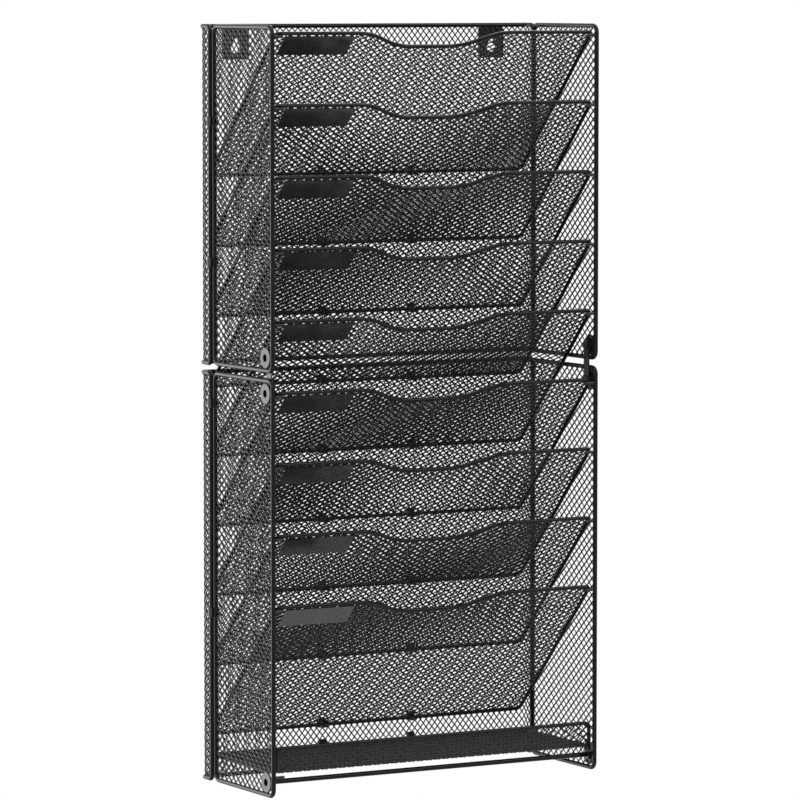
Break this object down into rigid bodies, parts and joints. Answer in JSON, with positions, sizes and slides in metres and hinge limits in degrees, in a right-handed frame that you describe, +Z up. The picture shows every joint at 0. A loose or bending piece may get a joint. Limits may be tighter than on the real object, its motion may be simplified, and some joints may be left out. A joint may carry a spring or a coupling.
{
  "type": "wall file organizer",
  "caption": "Tall wall file organizer of black expanded-metal mesh: slanted lift-out pockets with label plates between hinged side panels, over a shallow bottom tray.",
  "frame": {"origin": "on the wall plane, midway between the two hanger keyholes", "axes": "+X to the right, +Y into the wall, +Z up"},
  "size_m": [0.3326, 0.1323, 0.6623],
  "materials": {
    "mesh": "gloss black enamel",
    "wire": "gloss black enamel",
    "plate": "gloss black enamel",
    "fittings": "gloss black enamel"
  },
  "bodies": {
    "back": {"upper_back_frame": "wire", "upper_back_mesh": "mesh", "lower_back_frame": "wire", "lower_back_mesh": "mesh", "left_hanger_plate": "plate", "right_hanger_plate": "plate", "left_hinge_clips": "fittings", "right_hinge_clips": "fittings", "upper_pocket_hooks": "fittings", "lower_pocket_hooks": "fittings", "cross_rod": "fittings", "tray_frame": "wire", "tray_mesh": "mesh"},
    "left_side": {"left_upper_side_frame": "wire", "left_upper_side_mesh": "mesh", "left_lower_side_frame": "wire", "left_lower_side_mesh": "mesh", "left_eyelets": "fittings", "left_rim_pegs": "fittings", "left_link_strap": "fittings", "left_link_screws": "fittings"},
    "right_side": {"right_upper_side_frame": "wire", "right_upper_side_mesh": "mesh", "right_lower_side_frame": "wire", "right_lower_side_mesh": "mesh", "right_eyelets": "fittings", "right_rim_pegs": "fittings", "right_link_strap": "fittings", "right_link_screws": "fittings"},
    "pocket_1": {"pocket_1_frame": "wire", "pocket_1_mesh": "mesh", "pocket_1_label_plate": "plate"},
    "pocket_2": {"pocket_2_frame": "wire", "pocket_2_mesh": "mesh", "pocket_2_label_plate": "plate"},
    "pocket_3": {"pocket_3_frame": "wire", "pocket_3_mesh": "mesh", "pocket_3_label_plate": "plate"},
    "pocket_4": {"pocket_4_frame": "wire", "pocket_4_mesh": "mesh", "pocket_4_label_plate": "plate"},
    "pocket_5": {"pocket_5_frame": "wire", "pocket_5_mesh": "mesh", "pocket_5_label_plate": "plate"},
    "pocket_6": {"pocket_6_frame": "wire", "pocket_6_mesh": "mesh", "pocket_6_label_plate": "plate"},
    "pocket_7": {"pocket_7_frame": "wire", "pocket_7_mesh": "mesh", "pocket_7_label_plate": "plate"},
    "pocket_8": {"pocket_8_frame": "wire", "pocket_8_mesh": "mesh", "pocket_8_label_plate": "plate"},
    "pocket_9": {"pocket_9_frame": "wire", "pocket_9_mesh": "mesh", "pocket_9_label_plate": "plate"}
  },
  "joints": [
    {"name": "left_side_swing", "type": "hinge", "parent": "back", "child": "left_side", "pos_m": [-0.1612, -0.0228, -0.31], "axis": [0, 0, -1], "range_deg": [0, 90]},
    {"name": "right_side_swing", "type": "hinge", "parent": "back", "child": "right_side", "pos_m": [0.1612, -0.0228, -0.31], "axis": [0, 0, 1], "range_deg": [0, 90]},
    {"name": "pocket_1_lift", "type": "slide", "parent": "back", "child": "pocket_1", "axis": [0, -0.7013, 0.7128], "range_m": [0, 0.18]},
    {"name": "pocket_2_lift", "type": "slide", "parent": "back", "child": "pocket_2", "axis": [0, -0.7013, 0.7128], "range_m": [0, 0.18]},
    {"name": "pocket_3_lift", "type": "slide", "parent": "back", "child": "pocket_3", "axis": [0, -0.7013, 0.7128], "range_m": [0, 0.18]},
    {"name": "pocket_4_lift", "type": "slide", "parent": "back", "child": "pocket_4", "axis": [0, -0.7013, 0.7128], "range_m": [0, 0.18]},
    {"name": "pocket_5_lift", "type": "slide", "parent": "back", "child": "pocket_5", "axis": [0, -0.7013, 0.7128], "range_m": [0, 0.18]},
    {"name": "pocket_6_lift", "type": "slide", "parent": "back", "child": "pocket_6", "axis": [0, -0.7013, 0.7128], "range_m": [0, 0.18]},
    {"name": "pocket_7_lift", "type": "slide", "parent": "back", "child": "pocket_7", "axis": [0, -0.7013, 0.7128], "range_m": [0, 0.18]},
    {"name": "pocket_8_lift", "type": "slide", "parent": "back", "child": "pocket_8", "axis": [0, -0.7013, 0.7128], "range_m": [0, 0.18]},
    {"name": "pocket_9_lift", "type": "slide", "parent": "back", "child": "pocket_9", "axis": [0, -0.7013, 0.7128], "range_m": [0, 0.18]}
  ]
}
